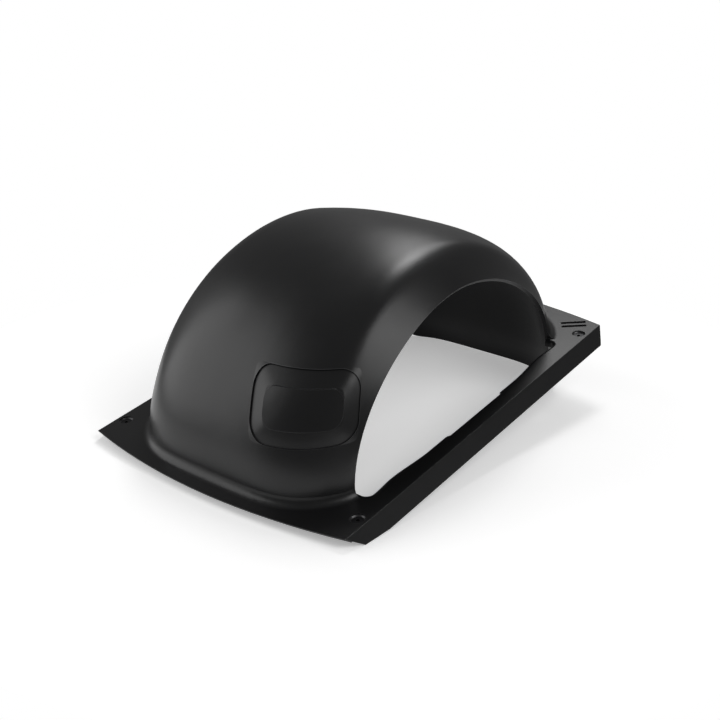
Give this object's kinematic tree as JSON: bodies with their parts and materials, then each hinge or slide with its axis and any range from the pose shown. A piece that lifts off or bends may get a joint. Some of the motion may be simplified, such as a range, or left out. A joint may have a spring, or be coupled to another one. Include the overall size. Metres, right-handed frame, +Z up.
{
  "type": "wheel mudguard",
  "caption": "Moulded mudguard that arches over one wide tyre, with a flange, side skirts, rear apron and countersunk screws in metal seats at its corners.",
  "frame": {"origin": "middle of the four screw positions, on the plane where the flange's underside sits on the two rails", "axes": "+X across the board, along the wheel's axle; +Y along the board, towards the end with the apron; +Z up through the top of the arch"},
  "size_m": [0.238, 0.3276, 0.1688],
  "materials": {
    "shell_plastic": "satin black moulded plastic with a fine even grain",
    "pad_foam": "closed-cell foam strip, dull dark grey",
    "seat_metal": "black anodised aluminium, satin",
    "screw_steel": "black oxide steel"
  },
  "bodies": {
    "guard": {"mudguard_shell": "shell_plastic", "rail_pad_left": "pad_foam", "rail_pad_right": "pad_foam", "screw_seat_front_left": "seat_metal", "screw_seat_rear_left": "seat_metal", "screw_seat_front_right": "seat_metal", "screw_seat_rear_right": "seat_metal"},
    "screw_front_left": {"screw_front_left": "screw_steel"},
    "screw_rear_left": {"screw_rear_left": "screw_steel"},
    "screw_front_right": {"screw_front_right": "screw_steel"},
    "screw_rear_right": {"screw_rear_right": "screw_steel"}
  },
  "joints": [
    {"name": "screw_front_left_withdrawal", "type": "slide", "parent": "guard", "child": "screw_front_left", "axis": [0, 0, 1], "range_m": [0, 0.025]},
    {"name": "screw_rear_left_withdrawal", "type": "slide", "parent": "guard", "child": "screw_rear_left", "axis": [0, 0, 1], "range_m": [0, 0.025]},
    {"name": "screw_front_right_withdrawal", "type": "slide", "parent": "guard", "child": "screw_front_right", "axis": [0, 0, 1], "range_m": [0, 0.025]},
    {"name": "screw_rear_right_withdrawal", "type": "slide", "parent": "guard", "child": "screw_rear_right", "axis": [0, 0, 1], "range_m": [0, 0.025]}
  ]
}
